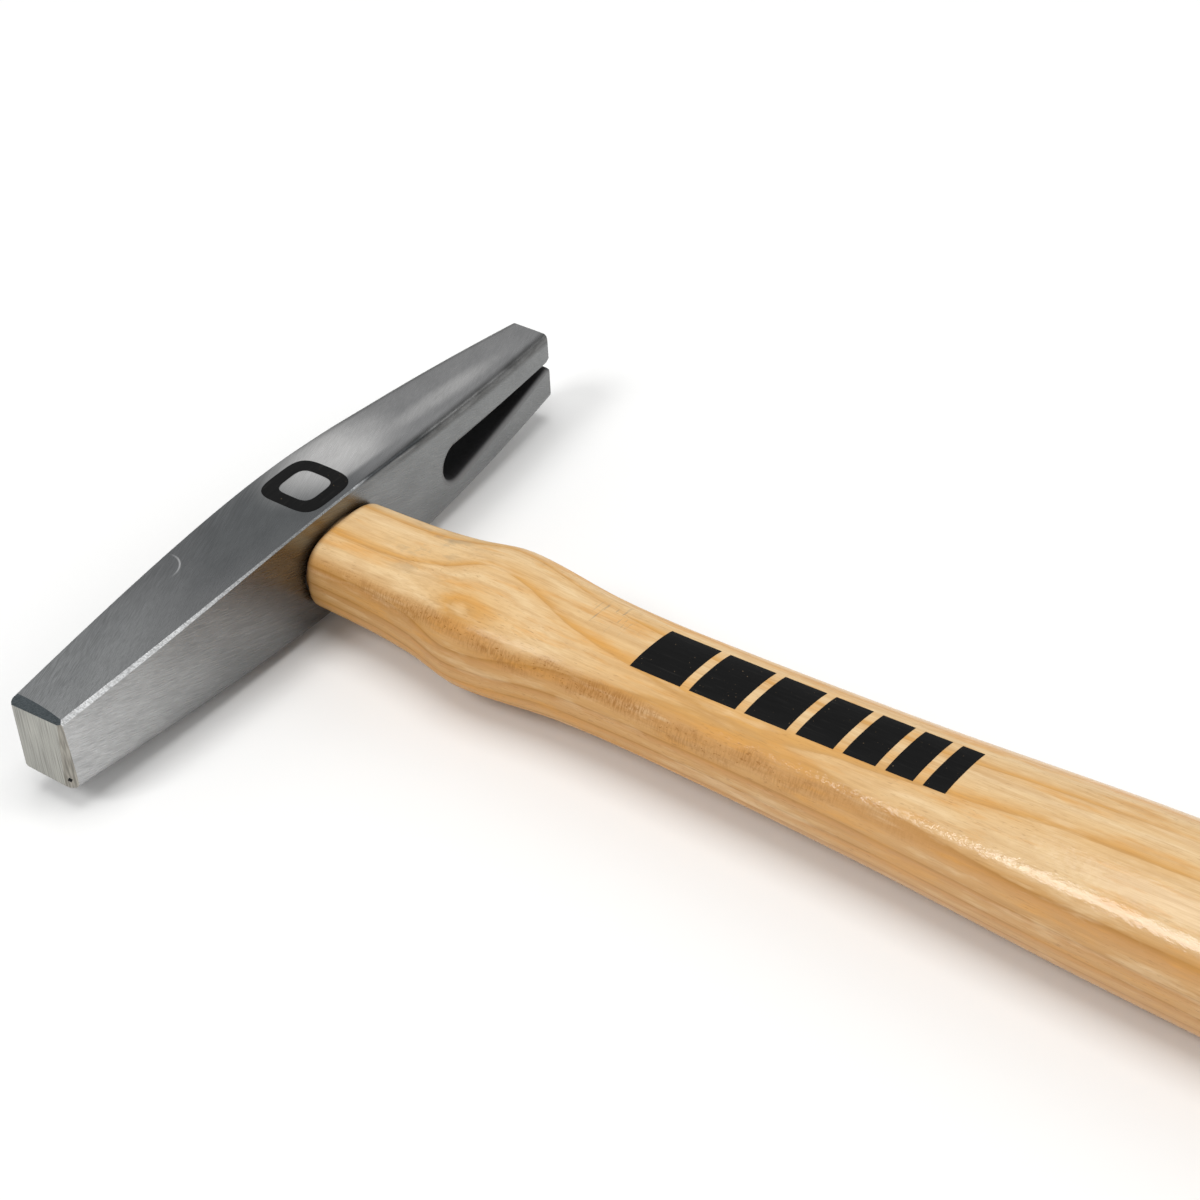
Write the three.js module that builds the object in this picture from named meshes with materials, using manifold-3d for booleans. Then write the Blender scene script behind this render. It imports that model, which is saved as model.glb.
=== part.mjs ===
// A magnetic tack hammer, in millimetres: a forged head with a square striking face and a split
// end, on an oval wooden handle held in the eye by a wooden wedge and a steel cross wedge.
// The hammer lies on one cheek. The head runs along X, with its striking face at -X, the handle
// runs along -Y, and Z is up. Shapes are drawn about the middle of the eye, and the group is then
// set on the floor, with its origin under the middle of the hammer's own box.
import * as THREE from 'three';
import { mergeVertices } from 'three/addons/utils/BufferGeometryUtils.js';
import Module from 'manifold-3d';

const wasm = await Module();
wasm.setup();

// Driving dimensions.
const OVERALL_LENGTH = 266.7;
const HEAD_LENGTH = 115;
const FACE_TO_EYE = 56.9;
const PIECE_GAP = 0.3;

// The head: half sizes at the eye and at both ends.
const EYE_HALF_WIDTH = 7.35;
const EYE_HALF_THICKNESS = 9.85;
const FACE_HALF_WIDTH = 5.15;
const FACE_HALF_THICKNESS = 6.6;
const TIP_HALF_WIDTH = 3.75;
const TIP_HALF_THICKNESS = 6.6;
const CHEEK_BEND = 18;
const CHEEK_CROWN = 0.03;
const EDGE_BEVEL = 0.07;
const FACE_CHAMFER = 1;
const HEAD_STATIONS = 22;
const CROWN_STEPS = 4;

// The eye, and the split in the magnetic end.
const EYE_LENGTH = 16.6;
const EYE_WIDTH = 12;
const SLOT_BASE_RADIUS = 3;
const SLOT_BASE_X = 29.3;
const SLOT_BASE_Z = -1.2;
const SLOT_MOUTH_WIDTH = 1.0;
const SLOT_MOUTH_Z = 0.6;
const SLOT_STEPS = 14;

// The handle: its half sizes across X and Z along its length, measured from the eye.
const HANDLE_STATIONS = [
  { y: 8, x: 9.0, z: 6.6 },
  { y: 20, x: 9.4, z: 6.9 },
  { y: 28, x: 10.2, z: 7.5 },
  { y: 37, x: 11.7, z: 8.6 },
  { y: 54, x: 10.3, z: 7.8 },
  { y: 70, x: 10.2, z: 7.65 },
  { y: 105, x: 11.1, z: 8.5 },
  { y: 140, x: 12.9, z: 9.9 },
  { y: 190, x: 14.3, z: 10.8 },
  { y: 235, x: 13.8, z: 10.6 },
  { y: 270, x: 12.6, z: 9.6 },
];
const NECK_SQUARENESS = 3;
const GRIP_SQUARENESS = 2.5;
const SHOULDER_ROUND = 1;
const BUTT_ROUND = 2.6;
const SECTION_POINTS = 36;
const HANDLE_STEP = 6;

// The tenon stands a little proud of the head's top, with the wedges driven flush into it.
const TENON_PROUD = 0.8;
const WOOD_WEDGE_DEPTH = 12;
const WOOD_WEDGE_HEAD = 2.6;
const WOOD_WEDGE_POINT = 0.6;
const WOOD_WEDGE_LENGTH = 14;
const STEEL_WEDGE_DEPTH = 8;
const STEEL_WEDGE_HEAD = 1.9;
const STEEL_WEDGE_POINT = 0.5;
const STEEL_WEDGE_WIDTH = 8;

const faceX = -FACE_TO_EYE;
const tipX = HEAD_LENGTH - FACE_TO_EYE;
const tenonTop = EYE_HALF_WIDTH + TENON_PROUD;
const shoulderY = -EYE_HALF_WIDTH - PIECE_GAP;
const buttY = EYE_HALF_WIDTH - OVERALL_LENGTH;

// Closed geometry through a row of rings that all have the same number of points, turning
// anticlockwise when seen from the last ring.
function loft(rings) {
  const count = rings[0].length;
  const positions = rings.flat().flatMap((point) => point.toArray());
  const index = [];
  for (let ring = 0; ring < rings.length - 1; ring += 1) {
    for (let i = 0; i < count; i += 1) {
      const a = ring * count + i;
      const b = ring * count + ((i + 1) % count);
      index.push(a, b, a + count, b, b + count, a + count);
    }
  }
  const last = (rings.length - 1) * count;
  for (let i = 1; i < count - 1; i += 1) {
    index.push(0, i + 1, i);
    index.push(last, last + i, last + i + 1);
  }
  const geometry = new THREE.BufferGeometry();
  geometry.setAttribute('position', new THREE.Float32BufferAttribute(positions, 3));
  geometry.setIndex(index);
  return geometry;
}

function toSolid(geometry) {
  const bare = geometry.clone();
  bare.deleteAttribute('normal');
  bare.deleteAttribute('uv');
  const merged = mergeVertices(bare);
  return new wasm.Manifold(new wasm.Mesh({
    numProp: 3,
    vertProperties: new Float32Array(merged.attributes.position.array),
    triVerts: new Uint32Array(merged.index.array),
  }));
}

function toGeometry(solid) {
  const mesh = solid.getMesh();
  const geometry = new THREE.BufferGeometry();
  geometry.setAttribute('position', new THREE.BufferAttribute(mesh.vertProperties, 3));
  geometry.setIndex(new THREE.BufferAttribute(mesh.triVerts, 1));
  geometry.computeVertexNormals();
  return geometry;
}

// A flat outline in X and Z, run through the head along Y.
function throughHead(outline, lowY, highY) {
  return loft([highY, lowY].map((y) => outline.map((p) => new THREE.Vector3(p.x, y, p.y))));
}

function ovalOutline(halfX, halfZ, points) {
  return new THREE.EllipseCurve(0, 0, halfX, halfZ).getPoints(points).slice(0, points);
}

// From the eye the side faces draw in as a parabola, and the cheeks run straight to each end,
// joined by a bend over the eye.
function headHalfWidth(x) {
  const [end, endX] = x < 0 ? [FACE_HALF_WIDTH, faceX] : [TIP_HALF_WIDTH, tipX];
  return EYE_HALF_WIDTH - (EYE_HALF_WIDTH - end) * (x / endX) ** 2;
}

function headHalfThickness(x) {
  const [end, endX] = x < 0 ? [FACE_HALF_THICKNESS, faceX] : [TIP_HALF_THICKNESS, tipX];
  const fall = (distance) => Math.hypot(distance, CHEEK_BEND) - CHEEK_BEND;
  return EYE_HALF_THICKNESS - (EYE_HALF_THICKNESS - end) * (fall(x) / fall(endX));
}

// The head's section for half sizes of 1: flat side faces, bevelled edges and crowned cheeks.
function headSectionOutline() {
  const flat = 1 - EDGE_BEVEL;
  const edge = 1 - CHEEK_CROWN;
  const outline = [];
  for (const cheek of [1, -1]) {
    outline.push(new THREE.Vector2(cheek, cheek * (edge - EDGE_BEVEL)));
    for (let i = 0; i <= CROWN_STEPS; i += 1) {
      const across = cheek * flat * (1 - (2 * i) / CROWN_STEPS);
      outline.push(new THREE.Vector2(across, cheek * (1 - CHEEK_CROWN * (across / flat) ** 2)));
    }
    outline.push(new THREE.Vector2(-cheek, cheek * (edge - EDGE_BEVEL)));
  }
  return outline;
}

function headRing(x, inset) {
  const halfWidth = headHalfWidth(x) - inset;
  const halfThickness = headHalfThickness(x) - inset;
  return headSectionOutline().map(
    (p) => new THREE.Vector3(x, p.x * halfWidth, p.y * halfThickness),
  );
}

// The slot: a round base that narrows in straight flanks to the mouth between the two tips.
function slotOutline() {
  const run = tipX - SLOT_BASE_X;
  const tilt = Math.atan2(SLOT_MOUTH_Z - SLOT_BASE_Z, run);
  const narrowing = Math.asin((SLOT_BASE_RADIUS - SLOT_MOUTH_WIDTH / 2) / run);
  const outline = [];
  for (let i = 0; i <= SLOT_STEPS; i += 1) {
    const start = Math.PI / 2 - narrowing;
    const angle = tilt + start + (i / SLOT_STEPS) * 2 * (Math.PI - start);
    outline.push(new THREE.Vector2(
      SLOT_BASE_X + SLOT_BASE_RADIUS * Math.cos(angle),
      SLOT_BASE_Z + SLOT_BASE_RADIUS * Math.sin(angle),
    ));
  }
  const beyond = 1 + 1 / run;
  for (const side of [-1, 1]) {
    const base = side < 0 ? outline[SLOT_STEPS] : outline[0];
    const mouth = new THREE.Vector2(tipX, SLOT_MOUTH_Z + side * SLOT_MOUTH_WIDTH / 2);
    outline.push(base.clone().lerp(mouth, beyond));
  }
  return outline;
}

function headGeometry() {
  const rings = [headRing(faceX, FACE_CHAMFER)];
  for (let i = 0; i <= HEAD_STATIONS; i += 1) {
    const x = faceX + FACE_CHAMFER + (i / HEAD_STATIONS) * (HEAD_LENGTH - FACE_CHAMFER);
    rings.push(headRing(x, 0));
  }
  const past = EYE_HALF_WIDTH + 2;
  const eye = throughHead(ovalOutline(EYE_LENGTH / 2, EYE_WIDTH / 2, SECTION_POINTS), -past, past);
  const slot = throughHead(slotOutline(), -past, past);
  return toGeometry(toSolid(loft(rings)).subtract(toSolid(eye)).subtract(toSolid(slot)));
}

// A smooth curve through the handle's stations, as the half size "key" at a distance along it.
function handleHalfSize(key, distance) {
  const last = HANDLE_STATIONS.length - 1;
  const found = HANDLE_STATIONS.findIndex((station) => station.y > distance);
  const i = THREE.MathUtils.clamp(found - 1, 0, last - 1);
  const slopeAt = (k) => {
    const before = HANDLE_STATIONS[Math.max(k - 1, 0)];
    const after = HANDLE_STATIONS[Math.min(k + 1, last)];
    return (after[key] - before[key]) / (after.y - before.y);
  };
  const from = HANDLE_STATIONS[i];
  const to = HANDLE_STATIONS[i + 1];
  const length = to.y - from.y;
  const t = THREE.MathUtils.clamp((distance - from.y) / length, 0, 1);
  return (2 * t ** 3 - 3 * t ** 2 + 1) * from[key]
    + (t ** 3 - 2 * t ** 2 + t) * length * slopeAt(i)
    + (3 * t ** 2 - 2 * t ** 3) * to[key]
    + (t ** 3 - t ** 2) * length * slopeAt(i + 1);
}

// The handle's section is a superellipse: a squared oval at the neck, rounder along the grip.
function handleRing(y, inset) {
  const grip = THREE.MathUtils.smoothstep(-y, HANDLE_STATIONS[0].y, HANDLE_STATIONS[5].y);
  const power = 2 / THREE.MathUtils.lerp(NECK_SQUARENESS, GRIP_SQUARENESS, grip);
  const halfX = handleHalfSize('x', -y) - inset;
  const halfZ = handleHalfSize('z', -y) - inset;
  const ring = [];
  for (let i = 0; i < SECTION_POINTS; i += 1) {
    const angle = (2 * Math.PI * i) / SECTION_POINTS;
    const squared = (value) => Math.sign(value) * Math.abs(value) ** power;
    ring.push(new THREE.Vector3(
      halfX * squared(Math.cos(angle)),
      y,
      halfZ * squared(Math.sin(angle)),
    ));
  }
  return ring;
}

function roundedEnd(y, inward, radius) {
  return [0, 30, 60, 90].map((degrees) => {
    const angle = THREE.MathUtils.degToRad(degrees);
    return handleRing(y + inward * radius * (1 - Math.sin(angle)), radius * (1 - Math.cos(angle)));
  });
}

// A wedge driven down -Y from the tenon's end: its head is thick, its point is thin.
function wedgeGeometry(head, point, width, depth, clearance) {
  const bottom = tenonTop - depth - clearance;
  const top = tenonTop + (clearance > 0 ? 1 : 0);
  const ring = (y, thickness) => {
    const halfX = width / 2 + clearance;
    const halfZ = thickness / 2 + clearance;
    return [[1, 1], [-1, 1], [-1, -1], [1, -1]].map(
      ([x, z]) => new THREE.Vector3(x * halfX, y, z * halfZ),
    );
  };
  return loft([ring(top, head), ring(bottom, point)]);
}

function woodWedgeGeometry(clearance) {
  return wedgeGeometry(
    WOOD_WEDGE_HEAD,
    WOOD_WEDGE_POINT,
    WOOD_WEDGE_LENGTH,
    WOOD_WEDGE_DEPTH,
    clearance,
  );
}

// The steel wedge crosses the wooden one at a right angle.
function steelWedgeGeometry(clearance) {
  return wedgeGeometry(
    STEEL_WEDGE_HEAD,
    STEEL_WEDGE_POINT,
    STEEL_WEDGE_WIDTH,
    STEEL_WEDGE_DEPTH,
    clearance,
  ).rotateY(Math.PI / 2);
}

function handleGeometry() {
  const shoulder = roundedEnd(shoulderY, -1, SHOULDER_ROUND).reverse();
  const butt = roundedEnd(buttY, 1, BUTT_ROUND);
  const rings = [...shoulder];
  const from = shoulderY - SHOULDER_ROUND;
  const to = buttY + BUTT_ROUND;
  const steps = Math.round((from - to) / HANDLE_STEP);
  for (let i = 1; i < steps; i += 1) {
    rings.push(handleRing(THREE.MathUtils.lerp(from, to, i / steps), 0));
  }
  rings.push(...butt);
  const tenonOutline = ovalOutline(
    EYE_LENGTH / 2 - PIECE_GAP,
    EYE_WIDTH / 2 - PIECE_GAP,
    SECTION_POINTS,
  );
  const tenon = throughHead(tenonOutline, shoulderY - SHOULDER_ROUND, tenonTop);
  return toGeometry(
    toSolid(loft(rings))
      .add(toSolid(tenon))
      .subtract(toSolid(woodWedgeGeometry(PIECE_GAP)))
      .subtract(toSolid(steelWedgeGeometry(PIECE_GAP))),
  );
}

function cutWoodWedgeGeometry() {
  return toGeometry(
    toSolid(woodWedgeGeometry(0)).subtract(toSolid(steelWedgeGeometry(PIECE_GAP))),
  );
}

function material(color, roughness, metalness) {
  return new THREE.MeshStandardMaterial({ color, roughness, metalness });
}

function piece(name, geometry, finish) {
  const mesh = new THREE.Mesh(geometry, finish);
  mesh.name = name;
  return mesh;
}

const hammer = new THREE.Group();
hammer.add(
  piece('head', headGeometry(), material(0x8c8c8a, 0.38, 1)),
  piece('handle', handleGeometry(), material(0xdcb27a, 0.4, 0)),
  piece('wood_wedge', cutWoodWedgeGeometry(), material(0xb98a58, 0.7, 0)),
  piece('steel_wedge', steelWedgeGeometry(0), material(0x6f7073, 0.5, 1)),
);

// The origin goes to the bottom centre of the hammer's box.
const box = new THREE.Box3().setFromObject(hammer);
const middle = box.getCenter(new THREE.Vector3());
hammer.position.set(-middle.x, -middle.y, -box.min.z);

export default hammer;
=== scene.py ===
"""A magnetic tack hammer: a ground steel head on a lacquered handle, with two wedges and ink marks."""
import math

import bmesh
import bpy
from mathutils import Matrix, Vector


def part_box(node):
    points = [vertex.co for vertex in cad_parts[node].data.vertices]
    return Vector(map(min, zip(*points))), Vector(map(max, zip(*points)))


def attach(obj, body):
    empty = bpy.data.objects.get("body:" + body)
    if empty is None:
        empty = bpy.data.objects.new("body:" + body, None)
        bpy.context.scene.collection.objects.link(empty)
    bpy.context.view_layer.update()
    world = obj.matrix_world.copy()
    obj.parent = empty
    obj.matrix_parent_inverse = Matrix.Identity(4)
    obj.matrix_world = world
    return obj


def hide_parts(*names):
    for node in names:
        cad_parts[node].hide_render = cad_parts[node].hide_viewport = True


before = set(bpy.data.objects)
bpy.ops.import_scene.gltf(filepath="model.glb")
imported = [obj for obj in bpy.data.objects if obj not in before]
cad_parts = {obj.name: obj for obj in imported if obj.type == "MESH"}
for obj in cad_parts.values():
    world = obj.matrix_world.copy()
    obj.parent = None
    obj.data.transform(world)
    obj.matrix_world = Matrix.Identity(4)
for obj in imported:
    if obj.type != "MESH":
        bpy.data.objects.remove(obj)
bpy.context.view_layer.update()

# ---------------------------------------------------------------- sizes, in millimetres
MM = 0.001

HEAD_LENGTH = 115
FACE_TO_EYE = 56.9
FACE_X = -FACE_TO_EYE
TIP_X = HEAD_LENGTH - FACE_TO_EYE
EYE_HALF_WIDTH = 7.35
EYE_HALF_THICKNESS = 9.85
FACE_HALF_WIDTH = 5.15
FACE_HALF_THICKNESS = 6.6
TIP_HALF_WIDTH = 3.75
TIP_HALF_THICKNESS = 6.6
CHEEK_BEND = 18
CHEEK_CROWN = 0.03
SIDE_CROWN = 0.012
RING_SPACING = 0.8
SUPPORT = 0.1
LOWER_CORNER = 1.5
EDGE_AT_FACE = 0.62
EDGE_AT_EYE = 0.3
EDGE_AT_SPLIT_END = 1.3

CHIP_SIZE = 0.6
FACE_CHIP = (FACE_X + 0.25, -4.0, -4.9)
EYE_LENGTH = 16.6
EYE_WIDTH = 12
EYE_LIP = 0.45
SLOT_BASE_RADIUS = 3
SLOT_BASE_X = 29.3
SLOT_BASE_Z = -1.2
SLOT_MOUTH_WIDTH = 1.0
SLOT_MOUTH_Z = 0.6
SLOT_LIP = 1.3
LOWER_MOUTH_LIP = 0.45
UPPER_MOUTH_LIP = 0.12
MOUTH_FLARE = 0.5

# The handle's half sizes across X and Z, at distances from the eye.
HANDLE_STATIONS = [
    (8, 9.0, 6.6),
    (20, 9.4, 6.9),
    (28, 10.2, 7.5),
    (37, 11.7, 8.6),
    (54, 10.3, 7.8),
    (70, 10.2, 7.65),
    (105, 11.1, 8.5),
    (140, 12.9, 9.9),
    (190, 14.3, 10.8),
    (235, 13.8, 10.6),
    (270, 12.6, 9.6),
]
NECK_SQUARENESS = 3
GRIP_SQUARENESS = 2.5
GRIP_STARTS = 70
SHOULDER_ROUND = 1
BUTT_ROUND = 2.6
HANDLE_SPACING = 1.5
HANDLE_AROUND = 96
SHOULDER_GAP = 0.12
FIT_GAP = 0.05

OVERALL_LENGTH = 266.7
TENON_STAND = 0.8
TENON_BREAK = 0.35
TENON_TOP = EYE_HALF_WIDTH + TENON_STAND
SHOULDER_Y = -EYE_HALF_WIDTH - SHOULDER_GAP
BUTT_Y = EYE_HALF_WIDTH - OVERALL_LENGTH

head_low, head_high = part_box("head")
EYE = (head_low + head_high) / 2 / MM
EYE.x = head_low.x / MM + FACE_TO_EYE


def placed(point):
    """A point about the middle of the eye, in millimetres, as a place in the frame, in metres."""
    return (EYE + Vector(point)) * MM


def lerp(a, b, t):
    return a + (b - a) * t


def smooth(value, low, high):
    t = min(max((value - low) / (high - low), 0), 1)
    return t * t * (3 - 2 * t)


# ---------------------------------------------------------------- mesh tools
def closed_loft(rings, band_material=lambda ring, place: 0):
    """A closed shell through rings with the same number of points, as a bmesh in millimetres."""
    shell = bmesh.new()
    grid = [[shell.verts.new(point) for point in ring] for ring in rings]
    count = len(rings[0])
    for i, (ring, after) in enumerate(zip(grid, grid[1:])):
        for k in range(count):
            following = (k + 1) % count
            face = shell.faces.new((ring[k], ring[following], after[following], after[k]))
            face.material_index = band_material(i, k)
    shell.faces.new(grid[0])
    shell.faces.new(grid[-1])
    bmesh.ops.recalc_face_normals(shell, faces=shell.faces)
    return shell


def make_object(name, shell, materials):
    """A finished bmesh in millimetres about the eye becomes an object in the frame."""
    for vertex in shell.verts:
        vertex.co = placed(vertex.co)
    mesh = bpy.data.meshes.new(name)
    shell.to_mesh(mesh)
    shell.free()
    for material in materials:
        mesh.materials.append(material)
    made = bpy.data.objects.new(name, mesh)
    bpy.context.scene.collection.objects.link(made)
    return made


def shade(made, crease_degrees=30):
    made.data.shade_smooth()
    made.data.set_sharp_from_angle(angle=math.radians(crease_degrees))


def baked(made):
    """The object's mesh with its modifiers applied, and no modifier left on it."""
    depsgraph = bpy.context.evaluated_depsgraph_get()
    mesh = bpy.data.meshes.new_from_object(made.evaluated_get(depsgraph))
    made.modifiers.clear()
    made.data = mesh
    return made


def cut(made, cutters):
    """Takes each cutter out of the object, and removes the cutter."""
    for cutter in cutters:
        boolean = made.modifiers.new("cut", "BOOLEAN")
        boolean.operation = "DIFFERENCE"
        boolean.solver = "EXACT"
        boolean.object = cutter
    baked(made)
    for cutter in cutters:
        bpy.data.objects.remove(cutter)
    return made


# ---------------------------------------------------------------- node tools
def node(tree, kind, inputs=None, **settings):
    """Adds a node with its settings. Its inputs are linked to sockets or set to plain values."""
    made = tree.nodes.new(kind)
    for name, value in settings.items():
        setattr(made, name, value)
    for name, value in (inputs or {}).items():
        if isinstance(value, bpy.types.NodeSocket):
            tree.links.new(value, made.inputs[name])
        else:
            made.inputs[name].default_value = value
    return made


def linear(hex_colour):
    """An sRGB hex colour as linear red, green, blue and alpha."""
    channels = [int(hex_colour[i:i + 2], 16) / 255 for i in (1, 3, 5)]
    bent = [c / 12.92 if c <= 0.04045 else ((c + 0.055) / 1.055) ** 2.4 for c in channels]
    return (*bent, 1)


def ramp(tree, value, stops):
    """A colour ramp through (place, hex colour) stops."""
    made = node(tree, "ShaderNodeValToRGB", {"Fac": value})
    band = made.color_ramp
    while len(band.elements) < len(stops):
        band.elements.new(0.5)
    for element, (place, colour) in zip(band.elements, stops):
        element.position = place
        element.color = linear(colour)
    return made.outputs["Color"]


def new_material(name, **surface):
    """A material with one Principled surface, whose constant values sit on its own sockets."""
    material = bpy.data.materials.new(name)
    material.use_nodes = True
    tree = material.node_tree
    tree.nodes.clear()
    shader = node(tree, "ShaderNodeBsdfPrincipled", surface)
    node(tree, "ShaderNodeOutputMaterial", {"Surface": shader.outputs["BSDF"]})
    return material, tree, shader


def about_eye(tree, turn=(0, 0, 0)):
    """Object coordinates in millimetres about the middle of the eye, turned to follow a pattern."""
    place = node(tree, "ShaderNodeTexCoord").outputs["Object"]
    middle = node(tree, "ShaderNodeMapping", {
        "Vector": place,
        "Location": tuple(-EYE),
        "Scale": (1 / MM, 1 / MM, 1 / MM),
    })
    if not any(turn):
        return middle.outputs["Vector"]
    turned = node(tree, "ShaderNodeMapping", {"Vector": middle.outputs["Vector"], "Rotation": turn})
    return turned.outputs["Vector"]


def grain(tree, place, size, detail=3, roughness=0.55):
    """Noise whose blobs measure size = (x, y, z) millimetres."""
    stretched = node(tree, "ShaderNodeMapping", {
        "Vector": place,
        "Scale": tuple(1 / length for length in size),
    })
    return node(tree, "ShaderNodeTexNoise", {
        "Vector": stretched.outputs["Vector"],
        "Scale": 1,
        "Detail": detail,
        "Roughness": roughness,
    }).outputs["Fac"]


def remap(tree, value, low, high, to_low=0, to_high=1, smooth_ends=False):
    return node(tree, "ShaderNodeMapRange", {
        "Value": value,
        "From Min": low,
        "From Max": high,
        "To Min": to_low,
        "To Max": to_high,
    }, interpolation_type="SMOOTHSTEP" if smooth_ends else "LINEAR").outputs["Result"]


def maths(tree, operation, *values):
    return node(tree, "ShaderNodeMath", dict(enumerate(values)), operation=operation).outputs[0]


def blend(tree, share, below, above, kind="MIX"):
    """Mixes two colours: share 0 gives the first, and share 1 the second."""
    made = node(tree, "ShaderNodeMix", {0: share, 6: below, 7: above},
                data_type="RGBA", blend_type=kind)
    return made.outputs[2]


def spot(tree, place, centre, reach):
    """1 at a centre, falling smoothly to 0 at an oval reach = (x, y, z) millimetres from it."""
    scaled = node(tree, "ShaderNodeMapping", {
        "Vector": place,
        "Location": tuple(-c / r for c, r in zip(centre, reach)),
        "Scale": tuple(1 / r for r in reach),
    })
    distance = node(tree, "ShaderNodeVectorMath", {0: scaled.outputs["Vector"]}, operation="LENGTH")
    return remap(tree, distance.outputs["Value"], 1, 0.2, smooth_ends=True)


# ---------------------------------------------------------------- materials: steel
def stain(tree, share, below, colour):
    """Mixes a flat colour over another, where share says."""
    return blend(tree, share, below, linear(colour))


def times(tree, *values):
    """The product of several values."""
    product = values[0]
    for value in values[1:]:
        product = maths(tree, "MULTIPLY", product, value)
    return product


def along(tree, place, axis):
    """How far the place lies along one axis."""
    return node(tree, "ShaderNodeSeparateXYZ", {"Vector": place}).outputs[axis]


def plain(tree, place, tone):
    """No painted areas: the steel keeps its tone."""
    return tone


def ground_steel(name, turn, tone, roughness, paint=plain, scratch=(7, 0.12, 0.12), depth=0.0005,
                 contrast="#cccccc"):
    """Forged steel, belt ground: fine parallel scratches that catch the light as pale and dark hairs.

    The scratches run along X once the pattern is turned, and scratch is their size in millimetres.
    They are freshest near the striking face. contrast is how dark they leave the steel, and paint
    lays painted reflections, painted shade and painted highlights under them.
    """
    material, tree, shader = new_material(name, Metallic=1, Roughness=roughness)
    place = about_eye(tree, turn)
    fine = grain(tree, place, scratch, detail=1, roughness=0.6)
    broad = grain(tree, place, tuple(2 * size for size in scratch), detail=2)
    cloud = grain(tree, place, (9, 5, 5), detail=3)
    hairs = blend(tree, 0.12, fine, broad)
    base = paint(tree, about_eye(tree), linear(tone))
    shades = ramp(tree, hairs, [(0.36, contrast), (0.62, "#ffffff")])
    fresh = remap(tree, along(tree, about_eye(tree), "X"), -48, 12, 1, 0.4)
    lined = blend(tree, fresh, base, shades, "MULTIPLY")
    clouded = blend(tree, remap(tree, cloud, 0.4, 0.7, 0, 0.25), lined, linear("#b4b5b7"), "MULTIPLY")
    rough = remap(tree, hairs, 0.34, 0.66, roughness + 0.08, roughness - 0.05)
    bump = node(tree, "ShaderNodeBump", {"Height": hairs, "Strength": 0.6, "Distance": depth * MM})
    tree.links.new(clouded, shader.inputs["Base Color"])
    tree.links.new(rough, shader.inputs["Roughness"])
    tree.links.new(bump.outputs["Normal"], shader.inputs["Normal"])
    return material


def painted_dark_streak(tree, place):
    """A painted dark reflection: a dark line under the split end's soft edge, strong beside the eye and
    faint at the tips.
    """
    x = along(tree, place, "X")
    corner = node(tree, "ShaderNodeAttribute", attribute_name="corner").outputs["Fac"]
    wander = remap(tree, grain(tree, place, (9, 3, 3), detail=2), 0.3, 0.7, -0.15, 0.15)
    off_line = maths(tree, "ABSOLUTE", maths(tree, "ADD", corner, wander))
    line = remap(tree, off_line, 0.75, 0.1, smooth_ends=True)
    begins = remap(tree, x, 4, 9, smooth_ends=True)
    fades = remap(tree, x, 17, 29, 1, 0.15, smooth_ends=True)
    return times(tree, line, begins, fades)


def painted_dark_edge(tree, place, tone):
    """Painted dark reflection on the split end's soft edge: darker than the faces beside it, and
    blotched towards the tips.
    """
    corner = node(tree, "ShaderNodeAttribute", attribute_name="corner").outputs["Fac"]
    blotches = remap(tree, grain(tree, place, (7, 2, 2), detail=3), 0.4, 0.62, 0.75, 1)
    round_edge = remap(tree, corner, 1.7, 0.2, smooth_ends=True)
    not_side = remap(tree, corner, -2.2, -1.1, smooth_ends=True)
    begins = remap(tree, along(tree, place, "X"), 3, 20)
    # Painted dark reflection laid over the rounded edge.
    return stain(tree, times(tree, round_edge, not_side, begins, blotches), tone, "#5d5d5c")


def arc_scratch(tree, place, middle, centre, reach):
    """A single curved scratch through a middle point: part of a circle about a centre, from above."""
    flat = node(tree, "ShaderNodeVectorMath", {0: place, 1: (1, 1, 0)}, operation="MULTIPLY")
    apart = node(tree, "ShaderNodeVectorMath", {0: flat.outputs["Vector"], 1: (*centre, 0)},
                 operation="DISTANCE")
    radius = math.dist(middle[:2], centre)
    off_line = maths(tree, "ABSOLUTE", maths(tree, "SUBTRACT", apart.outputs["Value"], radius))
    line = remap(tree, off_line, 0.2, 0.06)
    return times(tree, line, spot(tree, place, middle, (reach, reach, reach)), 0.75)


def cheek_painted_light(tree, place, tone):
    """Painted light: paler at the striking end by a painted reflection, darker before the mark by
    painted shade, and bright beyond it by a painted highlight.
    """
    # Painted reflection: a pale patch at the striking end.
    painted_pale_end = spot(tree, place, (-60, 0, 7), (44, 14, 10))
    tone = stain(tree, times(tree, painted_pale_end, 0.9), tone, "#c4c6c6")
    # Painted shade: a darker patch before the mark.
    painted_dark_middle = spot(tree, place, (-8, 0, 9), (26, 14, 8))
    tone = stain(tree, times(tree, painted_dark_middle, 0.6), tone, "#767a7b")
    # Painted reflection: beyond the eye the cheek is painted lighter.
    tone = stain(tree, remap(tree, along(tree, place, "X"), 4, 16, 0, 0.8), tone, "#bababa")
    # Painted highlight: a bright patch beyond the mark, cut off along a line on the near side.
    above_line = remap(tree, along(tree, place, "Y"), -5, -3.9, smooth_ends=True)
    painted_highlight_patch = times(tree, spot(tree, place, (8.5, 1, 9), (17, 10, 8)), above_line)
    tone = stain(tree, painted_highlight_patch, tone, "#fffefc")
    # Painted reflection: a pale streak towards the split end.
    painted_light_streak = times(tree, spot(tree, place, (33, -1.6, 8), (20, 2.4, 8)), 0.6)
    tone = stain(tree, painted_light_streak, tone, "#f4f3f1")
    # Painted dark reflections along the split end's soft edge.
    tone = painted_dark_edge(tree, place, tone)
    tone = stain(tree, times(tree, painted_dark_streak(tree, place), 0.9), tone, "#2f3234")
    scratch = arc_scratch(tree, place, (-23.4, 3.2, 8.6), (-25.8, 5.6), 3.6)
    return stain(tree, scratch, tone, "#ffffff")


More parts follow.
